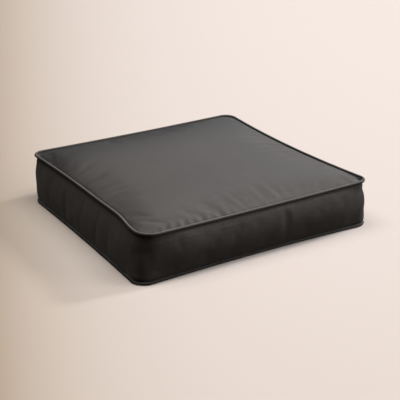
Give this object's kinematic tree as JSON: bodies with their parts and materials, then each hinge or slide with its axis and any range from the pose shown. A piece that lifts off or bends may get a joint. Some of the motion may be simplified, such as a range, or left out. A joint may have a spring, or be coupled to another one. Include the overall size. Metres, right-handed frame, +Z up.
{
  "type": "outdoor seat cushion",
  "caption": "Square boxed outdoor seat cushion with a crowned top, softly swelling boxing, drawn-in sides and a round welt along each seam.",
  "frame": {"origin": "middle of the flat underside, on the surface that the cushion lies on", "axes": "+Z up through the crown; X and Y along the cover's sides, with the most rounded, outward-leaning corner at -X -Y"},
  "size_m": [0.5328, 0.5118, 0.114],
  "materials": {
    "cover_cloth": "plain-woven charcoal outdoor canvas",
    "welt_cloth": "the same canvas, cut on the bias and wrapped round a cord"
  },
  "bodies": {
    "root": {"cushion_body": "cover_cloth", "top_panel": "cover_cloth", "bottom_panel": "cover_cloth", "top_welt": "welt_cloth", "bottom_welt": "welt_cloth"}
  },
  "joints": []
}
